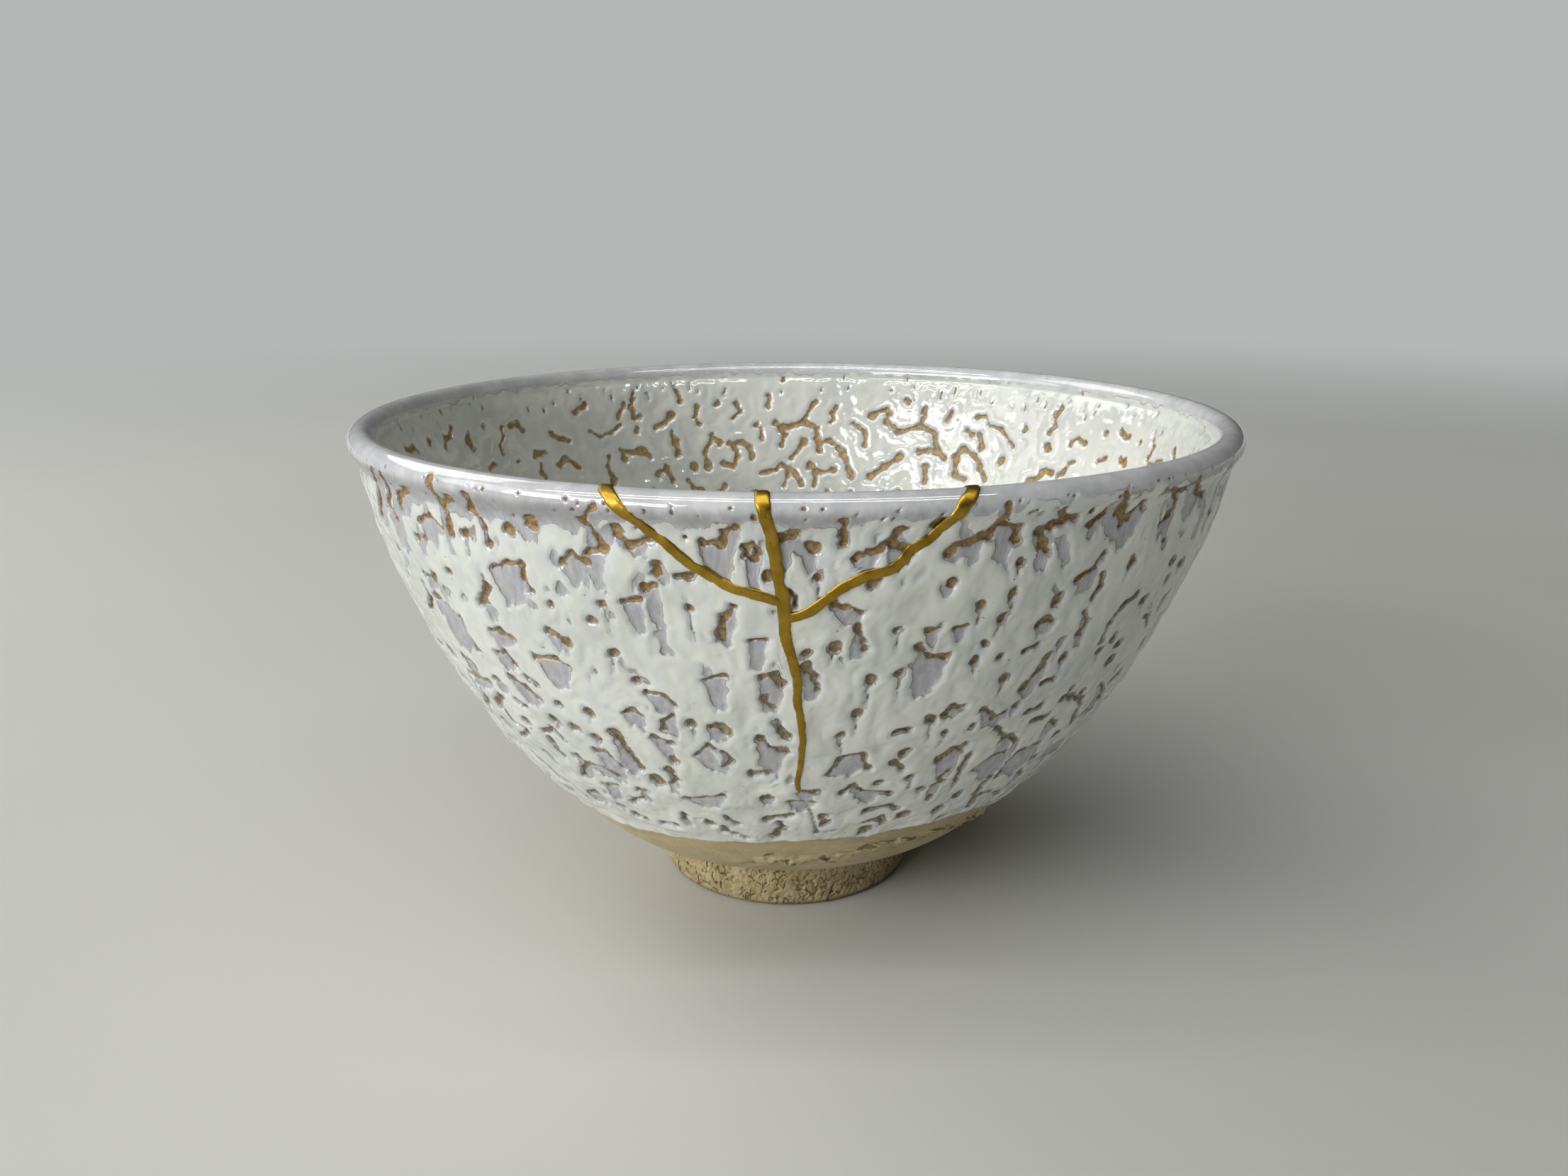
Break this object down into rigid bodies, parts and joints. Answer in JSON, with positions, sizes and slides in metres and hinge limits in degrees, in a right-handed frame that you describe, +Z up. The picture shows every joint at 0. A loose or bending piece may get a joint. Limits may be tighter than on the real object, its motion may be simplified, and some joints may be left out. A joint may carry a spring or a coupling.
{
  "type": "kintsugi tea bowl",
  "caption": "Wide footed tea bowl in thick pitted white glaze, broken at the rim and mended with raised gold seams.",
  "frame": {"origin": "on the surface the foot stands on, under the centre of the bowl's outline", "axes": "+Z up, out of the bowl's mouth; -Y towards the gold seams at the front; +X to the right seen from the front"},
  "size_m": [0.1266, 0.1267, 0.0723],
  "materials": {
    "bowl_glaze": "gloss",
    "sherd_glaze": "gloss",
    "gold": "satin"
  },
  "bodies": {
    "root": {"bowl_body": "bowl_glaze", "rim_sherd_left": "sherd_glaze", "rim_sherd_right": "sherd_glaze", "gold_seam": "gold"}
  },
  "joints": []
}
